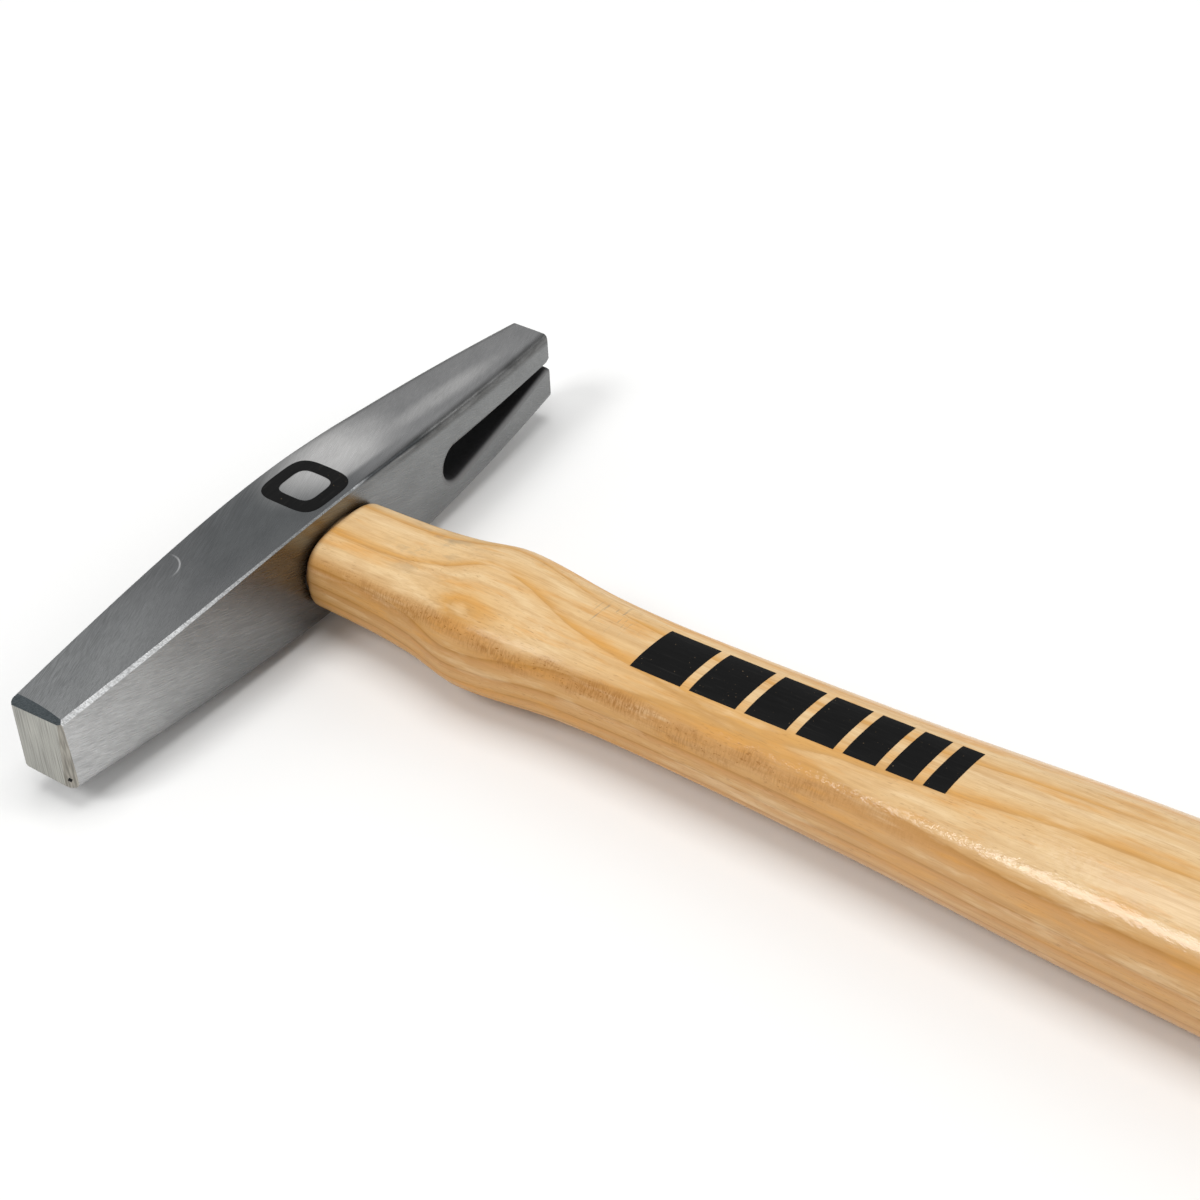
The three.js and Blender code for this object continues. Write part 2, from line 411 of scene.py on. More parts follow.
def side_painted_light(tree, place, tone):
    """Brightest beside the striking face by a painted reflection, with painted dark reflections under
    the soft edge.
    """
    # Painted reflection: the side is painted brightest beside the striking face.
    tone = stain(tree, spot(tree, place, (-62, 0, 0), (50, 14, 22)), tone, "#c6c6c6")
    # Painted dark reflections along the split end's soft edge.
    tone = painted_dark_edge(tree, place, tone)
    return stain(tree, times(tree, painted_dark_streak(tree, place), 0.9), tone, "#3a3d3f")


def bevel_painted_shade(tree, place, tone):
    """Bright at the striking end, and darkened towards the eye by painted shade."""
    # Painted shade: the bevel darkens from the striking end towards the eye.
    return stain(tree, remap(tree, along(tree, place, "X"), -52, -12, 0, 0.95), tone, "#696b6c")


def head_steels():
    """The six steels of the head, in the order of its surfaces, and the scale in its holes."""
    slant, fall = (0, 0, math.radians(-20)), (0, math.radians(-16), 0)
    upright, crosswise = (0, math.radians(90), 0), (0, 0, math.radians(62))
    return [
        # The crowned cheek, ground at a slant.
        ground_steel("belt_ground_cheek_steel", slant, "#939495", 0.32, cheek_painted_light),
        # The side faces: finer scratches that fall towards the striking face.
        ground_steel("belt_ground_side_steel", fall, "#838484", 0.28, side_painted_light, contrast="#e6e6e6"),
        # The narrow bevel along the upper edges: the brightest steel, crossed by nicks.
        ground_steel("fresh_ground_bevel_steel", crosswise, "#e8e9e9", 0.36, bevel_painted_shade,
                     scratch=(1.2, 0.2, 0.2), depth=0.01),
        # The striking face, ground across its height, and a little warmer from wear.
        ground_steel("cross_ground_face_steel", upright, "#b6b5ae", 0.36, contrast="#d0d0d0"),
        # The worn corner beside it: browner, with coarse marks.
        ground_steel("worn_corner_steel", upright, "#a8a49b", 0.42, scratch=(3.5, 0.35, 0.35),
                     depth=0.015),
        # The chamfer over the face, which keeps a dark tempered skin.
        ground_steel("tempered_chamfer_steel", crosswise, "#5f6669", 0.45),
        forge_scale(),
    ]


def forge_scale():
    """Black forging scale, left inside the slot and the eye: dull, and slightly pitted."""
    material, tree, shader = new_material("black_forging_scale", Metallic=0.3, Roughness=0.7)
    place = about_eye(tree)
    pits = grain(tree, place, (0.6, 0.6, 0.6), detail=4)
    depth = node(tree, "ShaderNodeAttribute", attribute_name="depth").outputs["Fac"]
    scale = ramp(tree, pits, [(0.3, "#0c0c0d"), (0.75, "#1d1d1f")])
    rubbed = blend(tree, remap(tree, depth, 0.05, 0.85, 1, 0, smooth_ends=True), scale,
                   linear("#8a8a8a"))
    metal = remap(tree, depth, 0.05, 0.85, 1, 0.25, smooth_ends=True)
    bump = node(tree, "ShaderNodeBump", {"Height": pits, "Strength": 0.6, "Distance": 0.05 * MM})
    tree.links.new(rubbed, shader.inputs["Base Color"])
    tree.links.new(metal, shader.inputs["Metallic"])
    tree.links.new(bump.outputs["Normal"], shader.inputs["Normal"])
    return material


# ---------------------------------------------------------------- materials: wood and ink
GROWTH_SPACING = 2.2
PITH = (16, 0, -40.9)
RING_TILT = math.radians(1.6)
SWAY = 2.0


def swayed_place(tree, place):
    """The place, pushed about by a slow wander that makes the growth lines flow."""
    slow = node(tree, "ShaderNodeMapping", {"Vector": place, "Scale": (1 / 14, 1 / 90, 1 / 14)})
    wander = node(tree, "ShaderNodeTexNoise", {
        "Vector": slow.outputs["Vector"], "Scale": 1, "Detail": 6, "Roughness": 0.5,
    })
    centred = node(tree, "ShaderNodeVectorMath", {
        0: place, 1: (SWAY / 2, 0, SWAY / 2),
    }, operation="SUBTRACT")
    return node(tree, "ShaderNodeVectorMath", {
        0: wander.outputs["Color"], 1: (SWAY, 0, SWAY), 2: centred.outputs["Vector"],
    }, operation="MULTIPLY_ADD").outputs["Vector"]


def growth_rings(tree, place):
    """0 to 1 across each growth ring, about a pith that lies under the handle."""
    about_pith = node(tree, "ShaderNodeMapping", {
        "Vector": place,
        "Rotation": (RING_TILT, 0, 0),
        "Location": tuple(-c for c in PITH),
    })
    return node(tree, "ShaderNodeTexWave", {
        "Vector": about_pith.outputs["Vector"],
        "Scale": 2 * math.pi / (20 * GROWTH_SPACING),
    }, wave_type="RINGS", rings_direction="Y", wave_profile="SAW").outputs["Fac"]


def heartwood_and_shade_side(tree, place):
    """1 on the lower left of the handle, where the browner heartwood lies and painted shade darkens the
    underside, and 0 above it.
    """
    across = node(tree, "ShaderNodeVectorMath", {0: place, 1: (0.35, 0, 0.94)},
                  operation="DOT_PRODUCT")
    return remap(tree, across.outputs["Value"], 3.6, 0.6, smooth_ends=True)


def lacquered_wood():
    """Hickory under clear lacquer: pale tan, with long growth lines, open pores and a soft shine."""
    material, tree, shader = new_material(
        "lacquered_hickory",
        **{"Roughness": 0.55, "Specular IOR Level": 0.2, "Coat Roughness": 0.1},
    )
    place = about_eye(tree)
    swayed = swayed_place(tree, place)
    rings = growth_rings(tree, swayed)
    sapwood = ramp(tree, rings, [
        (0.0, "#c89a5c"),
        (0.02, "#dab27b"),
        (0.35, "#e2c394"),
        (0.8, "#dcb680"),
        (0.955, "#d3a05a"),
        (1.0, "#c89a5c"),
    ])
    # Browner heartwood tone, partly painted shade on the handle's lower side.
    heartwood_and_shade = ramp(tree, rings, [
        (0.0, "#b3813f"),
        (0.035, "#c7975a"),
        (0.4, "#cfa168"),
        (0.85, "#c69256"),
        (1.0, "#b07c3c"),
    ])
    # The lower side takes the heartwood tone, darkened partly as painted shade.
    growth = blend(tree, heartwood_and_shade_side(tree, swayed), sapwood, heartwood_and_shade)
    patches = grain(tree, place, (2.4, 17, 2.4), detail=4, roughness=0.62)
    golden = blend(tree, remap(tree, patches, 0.53, 0.66, 0, 0.55), growth, linear("#d79a48"))
    pale = blend(tree, remap(tree, patches, 0.46, 0.32, 0, 0.4), golden, linear("#eed5ac"))
    figure = grain(tree, place, (1.6, 5, 1.6), detail=3, roughness=0.6)
    mottled = blend(tree, remap(tree, figure, 0.45, 0.7, 0, 0.22), pale, linear("#bd8f5c"))
    stripes = grain(tree, place, (0.8, 45, 0.8), detail=3, roughness=0.6)
    striped = blend(tree, remap(tree, stripes, 0.5, 0.68, 0, 0.32), mottled, linear("#b5864c"))
    fibres = grain(tree, place, (0.2, 6, 0.2), detail=3, roughness=0.6)
    fibred = blend(tree, remap(tree, fibres, 0.45, 0.7, 0, 0.25), striped, linear("#b08149"))
    pores = grain(tree, place, (0.15, 1.5, 0.15), detail=1)
    thick = remap(tree, grain(tree, place, (4, 26, 4), detail=2), 0.4, 0.62, 0.15, 1)
    open_pores = times(tree, remap(tree, pores, 0.64, 0.73, 0, 0.42), thick)
    pored = blend(tree, open_pores, fibred, linear("#8d5c2c"))
    flecked = blend(tree, ray_flecks(tree, place), pored, linear("#a06c32"))
    smudged = blend(tree, neck_smudges(tree, place), flecked, linear("#8e8370"))
    y = along(tree, place, "Y")
    # Painted shade: the wood darkens to dark brown over the last millimetre and a half before the
    # shoulder, where it meets the head.
    near_head = remap(tree, y, SHOULDER_Y - 1.4, SHOULDER_Y - 0.2, 0, 0.6)
    painted_shoulder_shade = blend(tree, near_head, smudged, linear("#6b4526"))
    bump = node(tree, "ShaderNodeBump", {"Height": pores, "Strength": 0.25, "Distance": 0.03 * MM})
    ripple = grain(tree, place, (0.6, 1.3, 0.6), detail=3)
    ripples = node(tree, "ShaderNodeBump", {"Height": ripple, "Strength": 1.0, "Distance": 0.05 * MM})
    tree.links.new(painted_shoulder_shade, shader.inputs["Base Color"])
    tree.links.new(bump.outputs["Normal"], shader.inputs["Normal"])
    tree.links.new(ripples.outputs["Normal"], shader.inputs["Coat Normal"])
    tree.links.new(remap(tree, y, -65, -110, 0.12, 0.62), shader.inputs["Coat Weight"])
    return material


def ray_flecks(tree, place):
    """A brown streak along one shoulder of the handle, crossed by short dark ray flecks."""
    across = node(tree, "ShaderNodeVectorMath", {0: place, 1: (0.7, 0, 0.7)},
                  operation="DOT_PRODUCT").outputs["Value"]
    wander = remap(tree, grain(tree, place, (50, 14, 50), detail=2), 0.3, 0.7, -1.2, 1.2)
    off_line = maths(tree, "ABSOLUTE", maths(tree, "ADD", maths(tree, "ADD", across, 3.6), wander))
    band = remap(tree, off_line, 2.1, 0.4, smooth_ends=True)
    reach = spot(tree, place, (-9, -58, 4), (14, 72, 12))
    blotches = remap(tree, grain(tree, place, (3, 9, 3), detail=3), 0.36, 0.6, 0.35, 1)
    ticks = remap(tree, grain(tree, place, (1.1, 0.26, 1.1), detail=2), 0.44, 0.6, 0.35, 1)
    specks = remap(tree, grain(tree, place, (0.4, 0.7, 0.4), detail=2), 0.6, 0.68, 0, 1.3)
    marks = maths(tree, "MAXIMUM", times(tree, blotches, ticks), specks)
    return times(tree, band, reach, marks, 0.85)


def neck_smudges(tree, place):
    """Grey handling marks on top of the neck, and dark ticks across the grain before the print."""
    cloud = remap(tree, grain(tree, place, (3, 5, 3), detail=4), 0.5, 0.62)
    smudge = times(tree, cloud, spot(tree, place, (2, -24, 7), (9, 9, 6)), 0.55)
    tick = remap(tree, grain(tree, place, (3, 0.35, 3), detail=2), 0.6, 0.7)
    ticks = times(tree, tick, spot(tree, place, (2.5, -57, 8), (5, 6, 5)), 0.8)
    return maths(tree, "MAXIMUM", smudge, ticks)


def wedge_wood():
    """The wooden wedge: darker sawn hardwood, cut flush, with its grain running into the tenon."""
    material, tree, shader = new_material("sawn_hardwood_wedge", Roughness=0.62)
    place = about_eye(tree)
    fibres = grain(tree, place, (0.3, 3, 0.3), detail=3)
    tone = ramp(tree, fibres, [(0.3, "#8a5f36"), (0.7, "#b98c5a")])
    bump = node(tree, "ShaderNodeBump", {"Height": fibres, "Strength": 0.4, "Distance": 0.05 * MM})
    tree.links.new(tone, shader.inputs["Base Color"])
    tree.links.new(bump.outputs["Normal"], shader.inputs["Normal"])
    return material


def wedge_steel():
    """The cross wedge: plain stamped steel, dull grey, with hammer marks on its edge."""
    material, tree, shader = new_material("stamped_wedge_steel", Metallic=1, Roughness=0.45)
    place = about_eye(tree)
    dents = grain(tree, place, (0.9, 0.9, 0.9), detail=2)
    tone = ramp(tree, dents, [(0.3, "#6a6a6b"), (0.7, "#9b9b9b")])
    bump = node(tree, "ShaderNodeBump", {"Height": dents, "Strength": 0.6, "Distance": 0.08 * MM})
    tree.links.new(tone, shader.inputs["Base Color"])
    tree.links.new(bump.outputs["Normal"], shader.inputs["Normal"])
    return material


def black_ink(name, line):
    """Pad-printed black ink: a thin satin film with hairline gaps along the grain, and pinholes."""
    material, tree, shader = new_material(name, Roughness=0.46, **{"Specular IOR Level": 0.14})
    place = about_eye(tree)
    hairs = grain(tree, place, line, detail=3)
    tone = ramp(tree, hairs, [(0.35, "#040404"), (0.62, "#0a0a0a"), (0.78, "#22211f")])
    pinholes = grain(tree, place, (0.35, 0.35, 0.35), detail=1)
    holed = blend(tree, remap(tree, pinholes, 0.76, 0.8, 0, 0.7), tone, linear("#8f7a5e"))
    bump = node(tree, "ShaderNodeBump", {"Height": hairs, "Strength": 0.3, "Distance": 0.02 * MM})
    tree.links.new(holed, shader.inputs["Base Color"])
    tree.links.new(bump.outputs["Normal"], shader.inputs["Normal"])
    return material


# ---------------------------------------------------------------- the head
def head_half_width(x):
    end, end_x = (FACE_HALF_WIDTH, FACE_X) if x < 0 else (TIP_HALF_WIDTH, TIP_X)
    return EYE_HALF_WIDTH - (EYE_HALF_WIDTH - end) * (x / end_x) ** 2


def head_half_thickness(x):
    def fall(distance):
        return math.hypot(distance, CHEEK_BEND) - CHEEK_BEND

    end, end_x = (FACE_HALF_THICKNESS, FACE_X) if x < 0 else (TIP_HALF_THICKNESS, TIP_X)
    return EYE_HALF_THICKNESS - (EYE_HALF_THICKNESS - end) * fall(x) / fall(end_x)


def cheek_height(x, y):
    """The cheek's height at a place on it: its crown falls away from the middle to both edges."""
    return head_half_thickness(x) * (1 - CHEEK_CROWN * (y / head_half_width(x)) ** 2)


def edge_size(x):
    """The legs of the upper edges' bevel: wide at the striking face, narrow at the eye, soft beyond."""
    narrow = lerp(EDGE_AT_FACE, EDGE_AT_EYE, smooth(x, FACE_X, -4))
    return lerp(narrow, EDGE_AT_SPLIT_END, smooth(x, EDGE_SOFTENS, 26))


def edge_roundness(x):
    """0 where the upper edge is a flat bevel, and 1 where it is rounded over."""
    return smooth(x, 2, 16)


EDGE_SOFTENS = 4
EDGE_STEPS = 8
CHEEK_STEPS = 14
SIDE_STEPS = 8
OVERRUN = 2
CHEEK, SIDE, BEVEL, FACE, WORN, CHAMFER, SCALE = range(7)


def quarter_ring(x, leg, roundness, corner):
    """A quarter of a section: up one side, over the corner and in along the cheek to its middle."""
    width = head_half_width(x)
    edge_y = width - leg
    edge_z = cheek_height(x, edge_y)
    low_z = edge_z - leg
    side_y = width * (1 - SIDE_CROWN)
    points = []
    for i in range(SIDE_STEPS):
        z = low_z * min(i / (SIDE_STEPS - 1), 1 - SUPPORT / low_z)
        points.append((width * (1 - SIDE_CROWN * (z / low_z) ** 2), z, SIDE))
    for i in range(EDGE_STEPS + 1):
        t = i / EDGE_STEPS
        bend = 2 * t * (1 - t) * roundness
        y = lerp(side_y, edge_y, t) + bend * (side_y - edge_y) / 2
        z = lerp(low_z, edge_z, t) + bend * leg / 2
        points.append((y, z, corner))
    for i in range(CHEEK_STEPS):
        y = edge_y * min(1 - i / CHEEK_STEPS, 1 - SUPPORT / edge_y)
        points.append((y, cheek_height(x, y), CHEEK))
    return points


def half_ring(*shape):
    quarter = quarter_ring(*shape)
    far_side = [(-y, z, kind) for y, z, kind in reversed(quarter[1:])]
    return quarter + [(0, cheek_height(shape[0], 0), CHEEK)] + far_side


def head_ring(x):
    """One section of the head, from the middle of the +Y side round over the upper cheek."""
    upper = half_ring(x, edge_size(x), edge_roundness(x), BEVEL)
    lower = [(-y, -z, kind) for y, z, kind in half_ring(x, LOWER_CORNER, 1, SIDE)]
    return upper + lower


def head_band(x, first, second):
    """Which steel the strip between two neighbouring points of a ring is."""
    if first == second == BEVEL:
        return BEVEL if x < EDGE_SOFTENS else CHEEK
    return CHEEK if CHEEK in (first, second) else SIDE


def head_shell():
    """The head's skin, run past both ends so that they can be cut flat."""
    steps = round((HEAD_LENGTH + 2 * OVERRUN) / RING_SPACING)
    places = [lerp(FACE_X - OVERRUN, TIP_X + OVERRUN, i / steps) for i in range(steps + 1)]
    places = [x for x in places if not FACE_X - 1.4 < x < FACE_X + 1.5]
    rings = [head_ring(x) for x in places]
    kinds = [[kind for _, _, kind in ring] for ring in rings]

    def band(i, k):
        return head_band(places[i], kinds[i][k], kinds[i][(k + 1) % len(kinds[i])])

    return closed_loft([[(x, y, z) for y, z, _ in ring] for x, ring in zip(places, rings)], band)


def slice_off(shell, point, outward, kind):
    """Cuts away what lies beyond a plane, and closes the cut with one flat face."""
    everything = [*shell.verts, *shell.edges, *shell.faces]
    made = bmesh.ops.bisect_plane(
        shell, geom=everything, plane_co=Vector(point), plane_no=Vector(outward),
        dist=1e-5, clear_outer=True,
    )
    edges = [item for item in made["geom_cut"] if isinstance(item, bmesh.types.BMEdge)]
    face = bmesh.ops.contextual_create(shell, geom=edges)["faces"][0]
    face.material_index = kind
    face.normal_update()
    if face.normal.dot(Vector(outward)) < 0:
        face.normal_flip()


FACE_CHAMFER = 1.05
FACE_BREAK = 0.3
NEAR_BEVEL = 1.5
NEAR_BEVEL_DEPTH = 0.55
TIP_BREAK = 0.25
TIP_LEAN = 0.04
FLARE_DEPTH = 0.6


def head_ends(shell):
    """The flat striking face with its chamfer and worn corner, and the two flat tips."""
    top = cheek_height(FACE_X, 0)
    slice_off(shell, (FACE_X, 0, 0), (-1, 0, 0), FACE)
    slice_off(shell, (FACE_X, 0, top - FACE_CHAMFER), (-1, 0.06, 1), CHAMFER)
    near = (FACE_X, NEAR_BEVEL - FACE_HALF_WIDTH, 0)
    slice_off(shell, near, (-NEAR_BEVEL, -NEAR_BEVEL_DEPTH, -0.06), WORN)
    slice_off(shell, (FACE_X, FACE_HALF_WIDTH - FACE_BREAK, 0), (-1, 1, 0), FACE)
    slice_off(shell, (FACE_X, 0, FACE_BREAK - top), (-1, 0, -1), FACE)
    slice_off(shell, (TIP_X, 0, TIP_HALF_THICKNESS), (1, 0, TIP_LEAN), SIDE)
    for y, z in ((0, 1), (0, -1), (1, 0), (-1, 0)):
        reach = TIP_HALF_WIDTH if y else TIP_HALF_THICKNESS
        end_x = TIP_X + TIP_LEAN * TIP_HALF_THICKNESS * (1 - z)
        point = Vector((end_x, y * reach, z * reach)) - TIP_BREAK * Vector((0, y, z))
        slice_off(shell, point, (1, y, z), SIDE)


def slot_outline(grow):
    """The slot seen along Y: a round base and straight flanks that narrow to the mouth."""
    radius = SLOT_BASE_RADIUS + grow
    upper_mouth = SLOT_MOUTH_WIDTH / 2 + UPPER_MOUTH_LIP * grow
    lower_mouth = SLOT_MOUTH_WIDTH / 2 + LOWER_MOUTH_LIP * grow
    run = TIP_X - SLOT_BASE_X
    tilt = math.atan2(SLOT_MOUTH_Z - SLOT_BASE_Z, run)
    start = math.pi / 2 - math.asin((radius - upper_mouth) / run)
    arc_steps, flank_steps = 28, 16
    outline = []
    for i in range(arc_steps + 1):
        angle = tilt + start + i / arc_steps * 2 * (math.pi - start)
        outline.append((
            SLOT_BASE_X + radius * math.cos(angle),
            SLOT_BASE_Z + radius * math.sin(angle),
        ))
    lower, upper = [], []
    flanks = ((-1, outline[arc_steps], lower_mouth, lower), (1, outline[0], upper_mouth, upper))
    for side, begins, half_mouth, flank in flanks:
        for i in range(1, flank_steps + 1):
            t = i / flank_steps
            x = lerp(begins[0], TIP_X + 1, t)
            flare = MOUTH_FLARE * max(0, x - TIP_X + FLARE_DEPTH) ** 1.5
            flank.append((x, lerp(begins[1], SLOT_MOUTH_Z + side * half_mouth, t) + side * flare))
    return outline + lower + upper[::-1]


def eye_outline(grow):
    steps = 64
    turns = [2 * math.pi * i / steps for i in range(steps)]
    return [
        ((EYE_LENGTH / 2 + grow) * math.cos(a), (EYE_WIDTH / 2 + grow) * math.sin(a))
        for a in turns
    ]


def lipped_cutter(name, outline, lip, kind):
    """A cutter through the head along Y whose two mouths flare out in a round lip."""
    angles = [math.radians(a) for a in (0, 15, 30, 45, 60, 75, 86)]
    profile = [(lip * (1 - math.sin(a)), lip * (1 - math.cos(a))) for a in angles]
    outside = (-2, profile[-1][1])
    rings = []
    for side, steps in ((-1, [outside, *profile[::-1]]), (1, [*profile, outside])):
        for depth, grow in steps:
            rings.append([
                (x, side * (head_half_width(min(x, TIP_X)) - depth), z) for x, z in outline(grow)
            ])
    shell = closed_loft(rings, lambda ring, place: kind)
    return make_object(name, shell, [])


def chip_cutter():
    """A small block, set askew, that chips the worn corner of the striking face."""
    shell = bmesh.new()
    bmesh.ops.create_cube(shell, size=CHIP_SIZE)
    askew = Matrix.Translation(FACE_CHIP) @ Matrix.Rotation(0.9, 4, Vector((1, 2, 1.3)))
    bmesh.ops.transform(shell, matrix=askew, verts=shell.verts)
    for face in shell.faces:
        face.material_index = SCALE
    return make_object("chip_cutter", shell, [])


def add_wear_and_shade_masks(made):
    """Writes two values on each point, which the steel's materials read.

    depth is how far the point lies inside the side faces. corner is 0 along the middle of the upper
    long edges, and grows by a millimetre for each one that the point lies in from the edge; it places
    the painted dark reflections along the split end's soft edge.
    """
    depth = made.data.attributes.new("depth", "FLOAT", "POINT")
    corner = made.data.attributes.new("corner", "FLOAT", "POINT")
    for i, vertex in enumerate(made.data.vertices):
        x, y, z = vertex.co / MM - EYE
        x = min(max(x, FACE_X), TIP_X)
        inward = head_half_width(x) - abs(y)
        down = cheek_height(x, y) - z
        depth.data[i].value = max(inward, 0)
        corner.data[i].value = min(max(inward - down, -4), 4)


def make_head():
    shell = head_shell()
    head_ends(shell)
    head = make_object("forged_head", shell, head_steels())
    cut(head, [
        lipped_cutter("slot_cutter", slot_outline, SLOT_LIP, SCALE),
        lipped_cutter("eye_cutter", eye_outline, EYE_LIP, SCALE),
        chip_cutter(),
    ])
    add_wear_and_shade_masks(head)
    shade(head)
    return head


# ---------------------------------------------------------------- the handle
def handle_half_sizes(distance):
    """The half sizes across X and Z at a distance from the eye, on a smooth curve."""
    last = len(HANDLE_STATIONS) - 1
    i = next((k for k in range(last) if HANDLE_STATIONS[k + 1][0] > distance), last - 1)
    start, end = HANDLE_STATIONS[i], HANDLE_STATIONS[i + 1]
    length = end[0] - start[0]
    t = min(max((distance - start[0]) / length, 0), 1)

    def slope(k, column):
        before, after = HANDLE_STATIONS[max(k - 1, 0)], HANDLE_STATIONS[min(k + 1, last)]
        return (after[column] - before[column]) / (after[0] - before[0])

    return [
        (2 * t ** 3 - 3 * t ** 2 + 1) * start[column]
        + (t ** 3 - 2 * t ** 2 + t) * length * slope(i, column)
        + (3 * t ** 2 - 2 * t ** 3) * end[column]
        + (t ** 3 - t ** 2) * length * slope(i + 1, column)
        for column in (1, 2)
    ]


def squareness(y):
    return lerp(NECK_SQUARENESS, GRIP_SQUARENESS, smooth(-y, HANDLE_STATIONS[0][0], GRIP_STARTS))


def oval_ring(y, half_x, half_z, square, around=HANDLE_AROUND):
    """A superellipse across the handle: square 2 is an ellipse, and more is squarer."""
    ring = []
    for i in range(around):
        angle = 2 * math.pi * i / around
        x, z = (
            math.copysign(abs(value) ** (2 / square), value)
            for value in (math.cos(angle), math.sin(angle))
        )
        ring.append((half_x * x, y, half_z * z))
    return ring


def handle_ring(y, inset=0):
    half_x, half_z = handle_half_sizes(-y)
    return oval_ring(y, half_x - inset, half_z - inset, squareness(y))


def rounded_end(y, inward, radius, steps=8):
    """Rings from an end's flat rim out round its corner."""
    angles = [math.pi / 2 * (1 - i / steps) for i in range(steps + 1)]
    return [
        handle_ring(y + inward * radius * (1 - math.sin(a)), radius * (1 - math.cos(a)))
        for a in angles
    ]


def wedge_shell(head, point, width, depth, clearance, turned):
    """A wedge driven along -Y from the tenon's end. A turned one stands across X."""
    above = 1 if clearance else 0
    rings = []
    for y, thickness in ((TENON_TOP + above, head), (TENON_TOP - depth - clearance, point)):
        half_long = width / 2 + clearance
        half_thin = thickness / 2 + clearance
        corners = [(1, 1), (-1, 1), (-1, -1), (1, -1)]
        if turned:
            rings.append([(half_thin * a, y, half_long * b) for a, b in corners])
        else:
            rings.append([(half_long * a, y, half_thin * b) for a, b in corners])
    return closed_loft(rings)


WOOD_WEDGE = {"head": 2.6, "point": 0.6, "width": 14, "depth": 12, "turned": False}
STEEL_WEDGE = {"head": 1.9, "point": 0.5, "width": 8, "depth": 8, "turned": True}


def wedge_cutter(wedge):
    return make_object("wedge_cutter", wedge_shell(clearance=FIT_GAP, **wedge), [])


def make_handle():
    rings = []
    rings += rounded_end(BUTT_Y, 1, BUTT_ROUND)
    start, end = BUTT_Y + BUTT_ROUND, SHOULDER_Y - SHOULDER_ROUND
    steps = round((end - start) / HANDLE_SPACING)
    rings += [handle_ring(lerp(start, end, i / steps)) for i in range(1, steps)]
    rings += rounded_end(SHOULDER_Y, -1, SHOULDER_ROUND)[::-1]
    tenon = (EYE_LENGTH / 2 - FIT_GAP, EYE_WIDTH / 2 - FIT_GAP)
    for y, inset in ((SHOULDER_Y, 0), (TENON_TOP - TENON_BREAK, 0), (TENON_TOP, TENON_BREAK)):
        rings.append(oval_ring(y, tenon[0] - inset, tenon[1] - inset, 2))
    handle = make_object("lacquered_handle", closed_loft(rings), [lacquered_wood()])
    cut(handle, [wedge_cutter(WOOD_WEDGE), wedge_cutter(STEEL_WEDGE)])
    shade(handle, 35)
    return handle


def soften(made, width, segments=2):
    """Breaks the sharp edges of a small piece."""
    bevel = made.modifiers.new("soften", "BEVEL")
    bevel.width = width * MM
    bevel.segments = segments
    bevel.limit_method = "ANGLE"
    baked(made)
    shade(made)


def make_wood_wedge():
    wedge = make_object("driven_wood_wedge", wedge_shell(clearance=0, **WOOD_WEDGE), [wedge_wood()])
    cut(wedge, [wedge_cutter(STEEL_WEDGE)])
    soften(wedge, 0.08)
    return wedge


def make_steel_wedge():
    wedge = make_object("driven_steel_wedge", wedge_shell(clearance=0, **STEEL_WEDGE), [wedge_steel()])
    soften(wedge, 0.12)
    return wedge


# ---------------------------------------------------------------- ink marks
INK_THICKNESS = 0.05
PRINT_START = -65
PRINT_HEIGHT = 9.4
BAR_COUNT = 7
FIRST_BAR = 8.4
BAR_SHRINK = 0.85
BAR_GAP = 1.5
BAR_SLANT = -0.08


